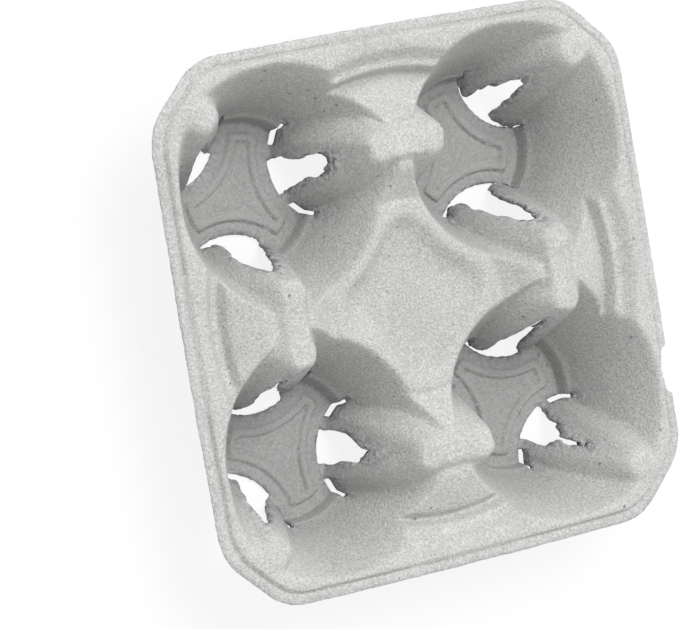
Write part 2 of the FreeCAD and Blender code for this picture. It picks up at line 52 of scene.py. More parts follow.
# The twelve mouths are torn, each in its own way. Wells go in turn from +X +Y, and each holds the
# corner finger, then the finger to its left and the one to its right, seen from the well centre.
# A tear is a ring of points: how far up from the clean arc towards the tip, as a share, and how far
# to the left in millimetres.
TEARS = (
    (((-0.10, 17.0), (0.36, 18.4), (0.25, 15.0), (0.17, 11.5), (0.13, 8.5), (0.20, 8.4), (0.28, 8.8),
      (0.40, 7.4), (0.46, 5.7), (0.56, 4.7), (0.67, 2.8), (0.64, -0.4), (0.53, -1.0), (0.45, -2.3),
      (0.38, -2.4), (0.28, -4.2), (0.18, -4.4), (0.14, -7.0), (0.15, -10.0), (0.21, -13.5),
      (0.34, -17.8), (-0.10, -17.0)),
     ((-0.10, 7.0), (0.20, 7.2), (0.40, 5.0), (0.60, 3.0), (0.63, 0.0), (0.45, -3.0), (0.30, -4.5),
      (-0.10, -7.0)),
     ((-0.10, 16.0), (0.37, 17.0), (0.24, 13.4), (0.16, 10.3), (0.20, 8.5), (0.32, 6.4), (0.43, 5.7),
      (0.61, 6.7), (0.76, 5.1), (0.86, 3.1), (0.87, -0.4), (0.78, -3.5), (0.66, -3.6), (0.60, -5.8),
      (0.42, -6.9), (0.36, -8.5), (0.23, -7.6), (0.24, -10.5), (0.26, -13.8), (0.38, -16.5),
      (0.50, -20.0), (-0.10, -19.0))),
    (((-0.10, 10.4), (0.13, 10.4), (0.32, 10.2), (0.52, 9.6), (0.68, 8.2), (0.80, 6.0), (0.82, 4.0),
      (0.70, 1.5), (0.50, -0.5), (0.30, -2.5), (0.20, -4.5), (0.05, -6.5), (-0.10, -6.5)),
     ((-0.10, 9.3), (0.10, 9.3), (0.20, 10.6), (0.30, 10.1), (0.50, 6.5), (0.66, 3.8), (0.79, 0.0),
      (0.82, -2.5), (0.78, -7.8), (0.61, -10.6), (0.52, -11.2), (0.36, -9.7), (0.27, -8.8),
      (0.30, -13.8), (0.36, -16.0), (0.47, -19.6), (-0.10, -19.0)),
     ((-0.10, 7.2), (0.13, 7.2), (0.31, 7.2), (0.37, 5.8), (0.43, 4.7), (0.59, 5.3), (0.67, 4.5),
      (0.70, 2.2), (0.65, -2.4), (0.53, -5.0), (0.47, -4.0), (0.38, -5.3), (0.31, -6.8), (0.18, -7.7),
      (-0.10, -7.7))),
    (((-0.10, 7.1), (0.20, 7.1), (0.42, 2.7), (0.56, 1.2), (0.76, -1.8), (0.85, -4.8), (0.87, -6.0),
      (0.80, -7.4), (0.63, -9.9), (0.46, -11.5), (0.35, -11.0), (0.26, -11.3), (0.32, -15.5),
      (-0.10, -15.0)),
     ((-0.10, 7.5), (0.10, 7.5), (0.33, 7.3), (0.41, 5.8), (0.51, 2.3), (0.60, -0.3), (0.58, -2.7),
      (0.52, -5.6), (0.43, -4.9), (0.36, -5.1), (0.34, -6.7), (0.15, -6.8), (-0.10, -6.8)),
     ((-0.10, 17.0), (0.44, 17.5), (0.38, 14.4), (0.36, 12.2), (0.41, 11.2), (0.52, 11.8),
      (0.63, 11.4), (0.78, 9.0), (0.88, 8.3), (0.92, 6.9), (0.76, 4.7), (0.57, 1.8), (0.42, -3.0),
      (0.27, -8.0), (-0.10, -8.0))),
    (((-0.10, 8.1), (0.14, 8.1), (0.23, 6.1), (0.27, 4.3), (0.36, 4.0), (0.38, 2.3), (0.44, 0.7),
      (0.46, -1.1), (0.53, -1.0), (0.66, -0.5), (0.66, -2.2), (0.50, -3.6), (0.40, -4.3), (0.37, -7.2),
      (0.30, -7.8), (0.19, -7.2), (0.11, -8.0), (-0.10, -8.0)),
     ((-0.10, 17.5), (0.43, 18.0), (0.30, 14.2), (0.22, 11.7), (0.16, 7.5), (0.18, 4.6), (0.27, 5.9),
      (0.36, 6.7), (0.40, 5.2), (0.54, 3.6), (0.71, 3.3), (0.84, 1.9), (0.80, -0.5), (0.70, -0.3),
      (0.61, -3.8), (0.39, -6.0), (0.28, -8.0), (0.17, -10.2), (-0.10, -10.2)),
     ((-0.10, 7.0), (0.30, 4.5), (0.45, 3.0), (0.62, 0.5), (0.60, -3.0), (0.40, -5.0), (0.20, -7.2),
      (-0.10, -7.0))),
)


def length(name, description, default):
    """A size in metres that shows as a length in the panel."""
    return FloatProperty(name=name, description=description, default=default, unit="LENGTH", precision=5)


class TraySizes(bpy.types.PropertyGroup):
    """Sizes of the pressed tray"""
    tray_width: length("Tray width", "Across the flats, at the middle of the sides", 0.215)
    side_bow: length("Side bow", "How far each side bows out between its ends", 0.0013)
    corner_chamfer: length("Corner chamfer", "Leg of each cut corner", 0.025)
    sheet: length("Sheet", "Thickness of the pulp", 0.002)
    ledge_height: length("Ledge height", "Top of the outer ledge above the base", 0.047)
    ledge_width: length("Ledge width", "Flat ledge outside the rim band", 0.0046)
    band_step: length("Band step", "Height of the rim band above the ledge", 0.0015)
    well_pitch: length("Well pitch", "Between neighbouring well centres", 0.103)
    well_top_radius: length("Well top radius", "Well wall at the rim band", 0.0483)
    shoulder_radius: length("Shoulder radius", "Well wall at the top of the steep foot", 0.0305)
    floor_radius: length("Floor radius", "Cup floor, inside the foot", 0.0286)
    foot_height: length("Foot height", "Steep foot of the wall, above the cup floor", 0.007)
    corner_bulge: length("Corner bulge", "Shift of the wall towards the tray corner, at the rim", 0.010)
    tip_radius: length("Tip radius", "Flat round top of every finger", 0.006)
    rib_height: length("Rib height", "Raised loop on each cup floor", 0.0009)
    platform_drop: length("Platform drop", "Platform top below the rim band", 0.010)
    dish_depth: length("Dish depth", "Dish floor below the platform top", 0.0046)
    bridge_rise: length("Bridge rise", "Level top of a ridge above the rim band", 0.0032)
    grid_cells: IntProperty(name="Grid cells", description="Cells along one side of the first net",
                            default=100, min=40)
    bend_error: length("Bend error", "How far a straight edge of the net may stand off the form", 0.000083)


class PulpFinish(bpy.types.PropertyGroup):
    """Colours of the pulp"""
    pulp: FloatVectorProperty(name="Pulp", description="Main colour of the pulp", subtype="COLOR",
                              default=(0.575, 0.575, 0.568))
    pale: FloatVectorProperty(name="Pale fibre", description="Colour of the pale fibres and torn edges",
                              subtype="COLOR", default=(0.80, 0.80, 0.79))
    speck: FloatVectorProperty(name="Speck", description="Colour of the dark specks", subtype="COLOR",
                               default=(0.14, 0.14, 0.15))


def soft_min(a, b, width):
    """Smaller of two heights, with the corner where they meet rounded over a width."""
    share = np.clip(0.5 + 0.5 * (b - a) / width, 0.0, 1.0)
    return b + (a - b) * share - width * share * (1.0 - share)


def soft_max(a, b, width):
    """Larger of two heights, rounded over a width where they meet."""
    return -soft_min(-a, -b, width)


def soft_step(low, high, value):
    """Smooth rise from 0 at the low value to 1 at the high one."""
    share = np.clip((value - low) / (high - low), 0.0, 1.0)
    return share * share * (3.0 - 2.0 * share)


def soft_profile(points, rounding):
    """Function for a height profile through points, with its corners rounded."""
    where = np.arange(points[0][0], points[-1][0], 0.1)
    height = np.interp(where, [p[0] for p in points], [p[1] for p in points])
    reach = int(rounding * 40)
    kernel = np.exp(-0.5 * (np.arange(-reach, reach + 1) * 0.1 / rounding) ** 2)
    height = np.convolve(np.pad(height, reach, mode="edge"), kernel / kernel.sum(), "valid")
    return lambda distance: np.interp(distance, where, height)


def lump(x, y, size, seed):
    """Smooth seeded unevenness between -1 and 1, with lumps of a given size."""
    table = np.random.default_rng(seed).uniform(-1.0, 1.0, (256, 256))
    across, along = x / size, y / size
    column, row = np.floor(across).astype(int), np.floor(along).astype(int)
    u, v = across - column, along - row
    u, v = u * u * (3 - 2 * u), v * v * (3 - 2 * v)
    corner = [table[(column + i) % 256, (row + j) % 256] for i, j in ((0, 0), (1, 0), (0, 1), (1, 1))]
    return (corner[0] * (1 - u) + corner[1] * u) * (1 - v) + (corner[2] * (1 - u) + corner[3] * u) * v


def turned(x, y, degrees):
    """Coordinates seen from an axis turned by an angle about Z."""
    c, s = math.cos(math.radians(degrees)), math.sin(math.radians(degrees))
    return x * c + y * s, y * c - x * s


def ring_distance(p, q, ring):
    """Distance to a closed ring of points, positive inside."""
    nearest = np.full(p.shape, 1e9)
    inside = np.zeros(p.shape, bool)
    for (ax, ay), (bx, by) in zip(ring, ring[1:] + ring[:1]):
        ex, ey = bx - ax, by - ay
        along = np.clip(((p - ax) * ex + (q - ay) * ey) / (ex * ex + ey * ey), 0.0, 1.0)
        nearest = np.minimum(nearest, np.hypot(p - ax - along * ex, q - ay - along * ey))
        crosses = (ay > q) != (by > q)
        inside ^= crosses & (p < ex * (q - ay) / (ey if ey else 1e-9) + ax)
    return np.where(inside, nearest, -nearest)


class Sheet:
    """One face of the tray as heights over the plan, in millimetres: the upper face, or the lower one."""
    # fingers: radius of the base, its reach from the well centre, reach of the tip, rise of the tip
    CORNER_FINGER = (26.6, 43.2, 46.6, 0.8)
    SIDE_FINGER = (28.0, 43.9, 40.9, 3.9)
    SIDE_FINGER_TURN, SIDE_TIP_TURN = 123.6, 121.6
    FACET_FOOT, FACET_TOP = 3.6, 0.7
    MOUTH_MARGIN = 0.4
    # torn slits: middle and half sweep in degrees, half width, and how wide a mouth leaves room for none
    SLIT_MIDDLE, SLIT_HALF_SWEEP, SLIT_HALF_WIDTH, SLIT_FREE = 37.0, 9.5, 1.0, 21.0
    RIB_REACH, RIB_WIDTH, RIB_MARGIN, RIB_SWELL = 23.8, 3.6, 5.0, 1.35
    PLATFORM_RADIUS, DISH_RADIUS, DISH_RUN, DISH_SWELL, CREST_WIDTH = 37.0, 33.0, 12.0, 1.25, 3.6
    BRIDGE_INNER, BRIDGE_OUTER, FAN_RADIUS = 55.0, 66.0, 85.8
    FAN_DROP, GROOVE_DROP, TERRACE_DROP = 7.5, 11.1, 5.0
    FLANK_SHARE = 0.65
    SQUARE_MARK, DIMPLE = (50.0, -1.0), (-1.5, -46.5)
    NICK = [(115.0, -62.0), (106.4, -60.0), (104.4, -58.2), (104.0, -53.5), (103.5, -50.0), (104.3, -46.0),
            (103.9, -43.0), (106.8, -40.2), (115.0, -38.0)]

    def __init__(self, sizes, under=False):
        for name in sizes.__annotations__:
            if name not in ("grid_cells", "bend_error"):
                setattr(self, name, getattr(sizes, name) * 1000.0)
        self.drop = self.sheet if under else 0.0
        self.flank = self.FLANK_SHARE * self.sheet if under else 0.0
        self.under = under
        self.band = self.ledge_height + self.band_step
        flank = self.flank
        top = self.band - self.platform_drop
        bridge = self.band + self.bridge_rise
        fan, groove = self.band - self.FAN_DROP, self.band - self.GROOVE_DROP
        terrace = self.band - self.TERRACE_DROP
        # rim, by distance in from the outline
        w = self.ledge_width + flank
        self.rim = soft_profile([(-20, self.ledge_height - 0.5), (0, self.ledge_height - 0.3),
                                 (w - 1.3, self.ledge_height), (w - 0.35, self.ledge_height - 1.3),
                                 (w + 0.35, self.band - 0.1), (w + 1.6, self.band + 0.25),
                                 (w + 7.5, self.band), (160, self.band)], 0.25)
        # middle, by distance from the middle of the tray
        self.middle = soft_profile([(0, top), (self.PLATFORM_RADIUS - flank, top),
                                    (38.2, top - 1.2 - 0.6 * flank), (39.6 + flank, top - 0.5),
                                    (self.BRIDGE_INNER + flank, bridge), (self.BRIDGE_OUTER - flank, bridge),
                                    (81.0 - flank, fan + 2.6), (self.FAN_RADIUS - flank, fan),
                                    (87.4 - flank, groove),
                                    (89.0 + flank, groove), (90.6 + flank, terrace), (93.5 + flank, terrace),
                                    (97.7 + flank, self.band), (180, self.band + 98)], 0.6)
        # wells, by distance from the well centre
        slope = (self.well_top_radius - self.shoulder_radius) / (self.band - self.sheet - self.foot_height)
        shoulder = self.sheet + self.foot_height
        self.wall = soft_profile([(0, self.sheet), (self.floor_radius + flank, self.sheet),
                                  (self.shoulder_radius - 1.0 + flank, shoulder - 0.5),
                                  (self.shoulder_radius + 0.4 + flank, shoulder + 0.6),
                                  (self.well_top_radius + 20 * slope + flank, self.band + 20),
                                  (140, self.band + 20 + (140 - self.well_top_radius - 20 * slope) / slope)],
                                 0.3)
        self.well_at_platform = self.well_top_radius - slope * self.platform_drop
        self.over = (self.band + 20 - shoulder, self.well_top_radius + 20 * slope,
                     self.corner_bulge * (1 + 20 / (self.band - self.sheet - self.foot_height)))

    def outline_distance(self, x, y):
        """Distance in from the outline."""
        bow = self.tray_width ** 2 / (8 * self.side_bow)
        away = self.tray_width / 2 - bow
        side = bow - np.maximum(np.hypot(np.abs(x) - away, y), np.hypot(x, np.abs(y) - away))
        corner = (self.tray_width - self.corner_chamfer - np.abs(x) - np.abs(y)) / math.sqrt(2)
        return soft_min(side, corner, 6.5)

    def well_height(self, u, v):
        """Wall of a well, which leans out towards the tray corner along +u."""
        rise, top_radius, shift = self.over
        wall = self.wall(np.hypot(u, v))
        near = self.shoulder_radius - 0.6 + self.flank
        reach = shift * math.sqrt(2)
        grow = top_radius + self.flank - shift - near
        a = reach ** 2 - grow ** 2
        b = -2 * (u * reach + near * grow)
        c = u * u + v * v - near ** 2
        inner = b * b - 4 * a * c
        share = np.where((inner > 0) & (b < 0), (-b - np.sqrt(np.maximum(inner, 0))) / (2 * a), 9.0)
        lean = np.where(share > 0, self.sheet + self.foot_height + 1.5 + rise * share, 99.0)
        return soft_min(wall, lean, 3.0)

    def finger_place(self, finger):
        """Direction, base and tip of a finger: angle, base radius and reach, tip along and across, top."""
        if finger == 0:
            base, reach, tip_reach, rise = self.CORNER_FINGER
            return 0.0, base, reach, tip_reach, 0.0, self.band + rise
        base, reach, tip_reach, rise = self.SIDE_FINGER
        side = 1 if finger == 1 else -1
        tip = math.radians(side * (self.SIDE_TIP_TURN - self.SIDE_FINGER_TURN))
        return (side * self.SIDE_FINGER_TURN, base, reach,
                tip_reach * math.cos(tip), tip_reach * math.sin(tip), self.band + rise)

    def finger_height(self, u, v, finger):
        """Leaning cone with a narrow flat front and a round, level tip."""
        turn, base, reach, tip_x, tip_y, top = self.finger_place(finger)
        p, q = turned(u, v, turn)
        base, tip = base - self.flank, self.tip_radius - self.flank
        rise = top - self.sheet
        lean_x, lean_y, grow = tip_x - reach, tip_y, tip - base
        a = lean_x ** 2 + lean_y ** 2 - grow ** 2
        b = -2 * ((p - reach) * lean_x + q * lean_y + base * grow)
        c = (p - reach) ** 2 + q * q - base ** 2
        cone = self.sheet + rise * (-b + np.sqrt(np.maximum(b * b - 4 * a * c, 0))) / (2 * a)
        foot = reach - base + self.FACET_FOOT
        head = math.hypot(tip_x, tip_y) - tip + self.FACET_TOP
        front = self.sheet + rise * (p - foot) / (head - foot)
        return soft_min(soft_min(cone, front, 1.6), top, 5.0)

    def ridge_height(self, r, t):
        """Level bar that joins the pair of fingers on a ridge: r from the middle, t across."""
        low, top = self.band - self.platform_drop - 8, self.band + self.bridge_rise
        rise = top - low
        ends = low + rise * (14.7 - self.flank - np.abs(t)) / 3
        inner = low + rise * (r - 47.0 - self.flank) / 9
        outer = low + rise * (78.5 - self.flank - r) / 12.5
        return soft_min(soft_min(soft_min(inner, outer, 8.0), ends, 5.0), top, 3.0)

    def rib_relief(self, u, v):
        """Raised three-armed loop on a cup floor."""
        edge = self.RIB_REACH - np.hypot(u, v)
        for finger in range(3):
            turn, base, reach = self.finger_place(finger)[:3]
            p, q = turned(u, v, turn)
            edge = soft_min(edge, np.hypot(p - reach, q) - (base - self.MOUTH_MARGIN + self.RIB_MARGIN), 0.8)
        rib = soft_step(-0.4, 0.8, edge) * soft_step(-0.4, 0.8, self.RIB_WIDTH - edge)
        # a fine groove runs along both feet of the rib
        for beside in (edge + 0.5, self.RIB_WIDTH + 0.5 - edge):
            rib = rib - 0.25 * np.exp(-(beside / 0.45) ** 2)
        return self.RIB_SWELL * self.rib_height * rib

    def height(self, x, y):
        """Height of this face over the plan."""
        rim = self.rim(self.outline_distance(x, y))
        radius = np.hypot(x, y)
        z = soft_min(rim, self.middle(radius), 1.2)
        wells = [turned(x - sx * self.well_pitch / 2, y - sy * self.well_pitch / 2, 45 + 90 * well)
                 for well, (sx, sy) in enumerate(((1, 1), (-1, 1), (-1, -1), (1, -1)))]
        # dish, whose edge keeps clear of the tray's sides and of the four wells
        edge = self.DISH_RADIUS + self.flank - radius
        for u, v in wells:
            clear = self.well_at_platform + self.CREST_WIDTH - self.flank
            edge = soft_min(edge, np.hypot(u, v) - clear, 5.0)
        share = np.clip(edge / self.DISH_RUN, -0.05, 1.0)
        bowl = 0.55 * soft_step(-0.05, 0.5, share) + 0.45 * soft_step(0.0, 1.0, share)
        z = np.where(radius < 45, z - self.DISH_SWELL * self.dish_depth * bowl, z)
        for u, v in wells:
            z = soft_min(z, self.well_height(u, v), 2.6)
        blend = 1.5 + 6.0 * soft_step(6.0, 38.0, z) * soft_step(self.band + 3, self.band - 5, z)
        for u, v in wells:
            for finger in range(3):
                z = soft_max(z, self.finger_height(u, v, finger), blend)
        for quarter in range(4):
            r, t = turned(x, y, 90 * quarter)
            seam = 0.8 + 4.2 * soft_step(self.band + 2.0, self.band - 4.0, z)
            z = np.where(r > 20, soft_max(z, self.ridge_height(r, t), seam), z)
        if not self.under:
            for u, v in wells:
                z = z + self.rib_relief(u, v)
            # small square mark on the right ridge, and a dimple beside the lower one
            square = np.maximum(np.abs(x - self.SQUARE_MARK[0]), np.abs(y - self.SQUARE_MARK[1]))
            z = z + 0.35 * soft_step(4.4, 3.6, square) - 0.25 * np.exp(-((square - 4.8) / 0.6) ** 2)
            z = z - 0.8 * np.exp(-((x - self.DIMPLE[0]) ** 2 + (y - self.DIMPLE[1]) ** 2) / 5.0)
        return z - self.drop

    def mouth_distance(self, x, y):
        """Distance into the nearest mouth, positive inside it."""
        best = np.full(x.shape, -30.0)
        fray = 0.45 * lump(x, y, 1.7, 11) + 0.3 * lump(x, y, 0.8, 12)
        for well, (sx, sy) in enumerate(((1, 1), (-1, 1), (-1, -1), (1, -1))):
            u, v = turned(x - sx * self.well_pitch / 2, y - sy * self.well_pitch / 2, 45 + 90 * well)
            near_well = np.hypot(u, v) < 50
            for finger in range(3):
                turn, base, reach, tip_x, tip_y, _ = self.finger_place(finger)
                p, q = turned(u, v, turn)
                close = near_well & (p > 8) & (np.abs(q) < 26)
                if not close.any():
                    continue
                pc, qc = p[close], q[close]
                arc = base - self.MOUTH_MARGIN
                near, far = reach + self.MOUTH_MARGIN - base, math.hypot(tip_x, tip_y) - self.tip_radius
                ring = [(near + share * (far - near), left) for share, left in TEARS[well][finger]]
                from_base = np.hypot(pc - reach, qc)
                tear = np.minimum(ring_distance(pc, qc, ring) + fray[close], arc - from_base)
                angle = np.degrees(np.arctan2(qc, reach - pc))
                sides = [left for _, left in TEARS[well][finger]]
                clear = base * math.sin(math.radians(self.SLIT_FREE))
                for side, free in ((-1, -min(sides) < clear), (1, max(sides) < clear)):
                    if free:
                        off_middle = np.abs(side * angle - self.SLIT_MIDDLE)
                        ends = np.radians(self.SLIT_HALF_SWEEP - off_middle) * base
                        across = self.SLIT_HALF_WIDTH - np.abs(from_base - arc + self.SLIT_HALF_WIDTH)
                        tear = np.maximum(tear, np.minimum(across, ends))
                best[close] = np.maximum(best[close], tear)
        return best

    def keep_distance(self, x, y):
        """Distance in from the nearest edge of the sheet: outline, nick or mouth."""
        outline = self.outline_distance(x, y) + 0.12 * lump(x, y, 3.0, 21) + 0.1 * lump(x, y, 1.3, 22)
        nick = ring_distance(x, y, self.NICK) + 0.35 * lump(x, y, 1.6, 23)
        return np.minimum(np.minimum(outline, -nick), -self.mouth_distance(x, y))


# edges of the net, in millimetres: no shorter ones are halved, longer ones always are, and finer near a tear
SHORT_EDGE, LONG_EDGE, TEAR_EDGE, NEAR_TEAR = 0.75, 3.8, 1.3, 0.8
REFINING_ROUNDS = 3


def refine(points, triangles, upper, lower, error, rounds):
    """Halve the edges of a net until it follows both faces closely and is fine along every torn edge."""
    for _ in range(rounds):
        z_up = upper.height(points[:, 0], points[:, 1])
        z_low = lower.height(points[:, 0], points[:, 1])
        sides = np.vstack([triangles[:, [0, 1]], triangles[:, [1, 2]], triangles[:, [2, 0]]])
        key, index = np.unique(np.sort(sides, 1), axis=0, return_inverse=True)
        index = index.reshape(3, -1).T
        a, b = key[:, 0], key[:, 1]
        middle = (points[a] + points[b]) / 2
        long = np.sqrt(((points[a] - points[b]) ** 2).sum(1) + (z_up[a] - z_up[b]) ** 2)
        off = np.maximum(np.abs(upper.height(middle[:, 0], middle[:, 1]) - (z_up[a] + z_up[b]) / 2),
                         0.2 * np.abs(lower.height(middle[:, 0], middle[:, 1]) - (z_low[a] + z_low[b]) / 2))
        # error square to the surface, not along the height
        steep = np.maximum(np.hypot(*(points[a] - points[b]).T), 1e-6) / np.maximum(long, 1e-6)
        near = np.abs(upper.keep_distance(middle[:, 0], middle[:, 1]))
        split = ((off * steep > error) & (long > SHORT_EDGE)) | (long > LONG_EDGE)
        split |= (near < NEAR_TEAR) & (long > TEAR_EDGE)
        made = np.full(len(key), -1)
        made[split] = len(points) + np.arange(split.sum())
        points = np.vstack([points, middle[split]])
        fresh = []
        m = made[index]
        count = (m >= 0).sum(1)
        fresh.append(triangles[count == 0])
        for turn in range(3):
            i, j, k = turn, (turn + 1) % 3, (turn + 2) % 3
            one = (count == 1) & (m[:, i] >= 0)
            t, e = triangles[one], m[one]
            fresh.append(np.stack([t[:, i], e[:, i], t[:, k]], 1))
            fresh.append(np.stack([e[:, i], t[:, j], t[:, k]], 1))
            two = (count == 2) & (m[:, i] < 0)
            t, e = triangles[two], m[two]
            fresh.append(np.stack([t[:, k], e[:, k], e[:, j]], 1))
            fresh.append(np.stack([t[:, i], t[:, j], e[:, j]], 1))
            fresh.append(np.stack([t[:, i], e[:, j], e[:, k]], 1))
        t, e = triangles[count == 3], m[count == 3]
        for corner in (np.stack([t[:, 0], e[:, 0], e[:, 2]], 1), np.stack([e[:, 0], t[:, 1], e[:, 1]], 1),
                       np.stack([e[:, 2], e[:, 1], t[:, 2]], 1), np.stack([e[:, 0], e[:, 1], e[:, 2]], 1)):
            fresh.append(corner)
        triangles = np.vstack(fresh)
    return points, triangles


def trim(points, triangles, distance):
    """Cut a flat net along the line where distance is zero, and keep the part where it is positive."""
    points = points.copy()
    s = distance(points[:, 0], points[:, 1])
    # points close to the line are moved onto it
    near = np.abs(s) < 0.28
    for _ in range(2):
        here = points[near]
        step = 0.05
        gx = (distance(here[:, 0] + step, here[:, 1]) - distance(here[:, 0] - step, here[:, 1])) / (2 * step)
        gy = (distance(here[:, 0], here[:, 1] + step) - distance(here[:, 0], here[:, 1] - step)) / (2 * step)
        size = np.maximum(gx * gx + gy * gy, 0.3)
        value = distance(here[:, 0], here[:, 1])
        points[near] -= np.clip(np.stack([gx * value / size, gy * value / size], 1), -0.3, 0.3)
    s[near] = 0.0
    sign = np.sign(s[triangles])
    whole = (sign >= 0).all(1) & (sign > 0).any(1)
    mixed = (sign > 0).any(1) & (sign < 0).any(1)
    edges, extra = {}, []

    def crossing(i, j):
        key = (min(i, j), max(i, j))
        if key not in edges:
            edges[key] = len(points) + len(extra)
            t = s[i] / (s[i] - s[j])
            extra.append(points[i] + (points[j] - points[i]) * min(max(t, 0.12), 0.88))
        return edges[key]

    cut = []
    for tri in triangles[mixed]:
        ring = []
        for i, j in zip(tri, np.roll(tri, -1)):
            if s[i] >= 0:
                ring.append(int(i))
            if s[i] * s[j] < 0:
                ring.append(crossing(int(i), int(j)))
        for k in range(1, len(ring) - 1):
            cut.append((ring[0], ring[k], ring[k + 1]))
    points = np.vstack([points, np.array(extra)]) if extra else points
    triangles = np.vstack([triangles[whole], np.array(cut, int).reshape(-1, 3)])
    used, triangles = np.unique(triangles, return_inverse=True)
    return points[used], triangles.reshape(-1, 3)


def rim_edges(triangles):
    """Edges on the border of a net, each in the direction of its own triangle."""
    edges = np.vstack([triangles[:, [0, 1]], triangles[:, [1, 2]], triangles[:, [2, 0]]])
    ordered = np.sort(edges, 1)
    key = ordered[:, 0].astype(np.int64) * (triangles.max() + 1) + ordered[:, 1]
    _, first, count = np.unique(key, return_index=True, return_counts=True)
    return edges[first[count == 1]]


def clear_selection():
    if bpy.context.object and bpy.context.object.mode != "OBJECT":
        bpy.ops.object.mode_set(mode="OBJECT")
    bpy.ops.object.select_all(action="DESELECT")


class TRAY_OT_sheet(bpy.types.Operator):
    """Press the pulp sheet: a fine net is shaped, trimmed at its torn edges and given its thickness"""
    bl_idname = "cup_tray.sheet"
    bl_label = "Press the Sheet"

    def execute(self, context):
        sizes = context.scene.tray_sizes
        upper, lower = Sheet(sizes), Sheet(sizes, under=True)
        cells = sizes.grid_cells
        clear_selection()
        bpy.ops.mesh.primitive_grid_add(x_subdivisions=cells, y_subdivisions=cells,
                                        size=sizes.tray_width * 1.012)
        piece = context.object
        piece.name = "pulp_tray"
        flat = np.empty(len(piece.data.vertices) * 3)
        piece.data.vertices.foreach_get("co", flat)
        points = flat.reshape(-1, 3)[:, :2] * 1000.0
        corners = np.empty(len(piece.data.loops), np.int32)
        piece.data.loops.foreach_get("vertex_index", corners)
        triangles = self.split(corners.reshape(-1, 4), points, upper)
        error = sizes.bend_error * 1000.0
        points, triangles = refine(points, triangles, upper, lower, error, REFINING_ROUNDS)
        points, triangles = trim(points, triangles, upper.keep_distance)
        self.build(piece, points, triangles, upper, lower)
        bpy.ops.object.shade_smooth()
        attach(piece, "root")
        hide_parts(NODE)
        return {"FINISHED"}

    def split(self, quads, points, sheet):
        """Halve every cell along the diagonal that follows the sheet best."""
        z = sheet.height(points[:, 0], points[:, 1])
        middle = points[quads].mean(1)
        true = sheet.height(middle[:, 0], middle[:, 1])
        first = np.abs((z[quads[:, 0]] + z[quads[:, 2]]) / 2 - true)
        second = np.abs((z[quads[:, 1]] + z[quads[:, 3]]) / 2 - true)
        one, two = quads[first <= second], quads[first > second]
        return np.vstack([one[:, [0, 1, 2]], one[:, [0, 2, 3]], two[:, [0, 1, 3]], two[:, [1, 2, 3]]])

    def build(self, piece, points, triangles, upper, lower):
        """Give the flat net its two faces and the torn edge between them."""
        x, y = points[:, 0], points[:, 1]
        count = len(points)
        edge = rim_edges(triangles)
        border = np.unique(edge)
        inside = upper.keep_distance(x, y)
        uneven = 0.28 * lump(x, y, 14.0, 31) + 0.16 * lump(x, y, 5.5, 32) + 0.06 * lump(x, y, 2.2, 33)
        top = upper.height(x, y) + uneven * soft_step(2.0, 5.0, upper.height(x, y))
        low = lower.height(x, y)
        low = np.where(low < 0.05, 0.0, low + 0.8 * uneven * soft_step(0.0, 3.0, low))
        low = np.maximum(np.minimum(low, top - 1.3), 0.0)
        on_border = np.zeros(count, bool)
        on_border[border] = True
        round_off = np.where(on_border, 0.5, 0.0)
        top, low = top - round_off, low + round_off * 0.8
        # middle ring of the edge, pushed out a little
        out = np.zeros((count, 2))
        along = points[edge[:, 1]] - points[edge[:, 0]]
        normal = np.stack([along[:, 1], -along[:, 0]], 1)
        np.add.at(out, edge[:, 0], normal)
        np.add.at(out, edge[:, 1], normal)
        out = out[border] / np.maximum(np.linalg.norm(out[border], axis=1), 1e-6)[:, None]
        torn = soft_step(1.5, 0.5, np.abs(upper.mouth_distance(x, y)))[border]
        push = 0.28 + torn * 0.25 * lump(x[border], y[border], 0.9, 41)
        ring = points[border] + out * push[:, None]
        ring_z = (top[border] + low[border]) / 2 + torn * 0.3 * lump(x[border], y[border], 1.1, 42)
        ring_index = np.full(count, -1)
        ring_index[border] = 2 * count + np.arange(len(border))
        verts = np.vstack([np.column_stack([points, top]), np.column_stack([points, low]),
                           np.column_stack([ring, ring_z])]) / 1000.0
        a, b = edge[:, 0], edge[:, 1]
        faces = np.vstack([
            triangles, triangles[:, ::-1] + count,
            np.stack([b, a, ring_index[a]], 1), np.stack([b, ring_index[a], ring_index[b]], 1),
            np.stack([ring_index[b], ring_index[a], a + count], 1),
            np.stack([ring_index[b], a + count, b + count], 1)])
        mesh = bpy.data.meshes.new("pulp_tray")
        mesh.from_pydata(verts.tolist(), [], faces.tolist())
        mesh.update()
        old = piece.data
        piece.data = mesh
        bpy.data.meshes.remove(old)
        fuzz = np.concatenate([np.exp(-np.maximum(-upper.mouth_distance(x, y), 0) / 1.6)] * 2
                              + [np.ones(len(border))])
        attribute = mesh.attributes.new("torn_edge", "FLOAT", "POINT")
        attribute.data.foreach_set("value", fuzz.astype(np.float32))
        print("pulp_tray: %d triangles" % len(faces))


def colour(value):
    """Colour with full opacity, for a socket."""
    return (value[0], value[1], value[2], 1.0)


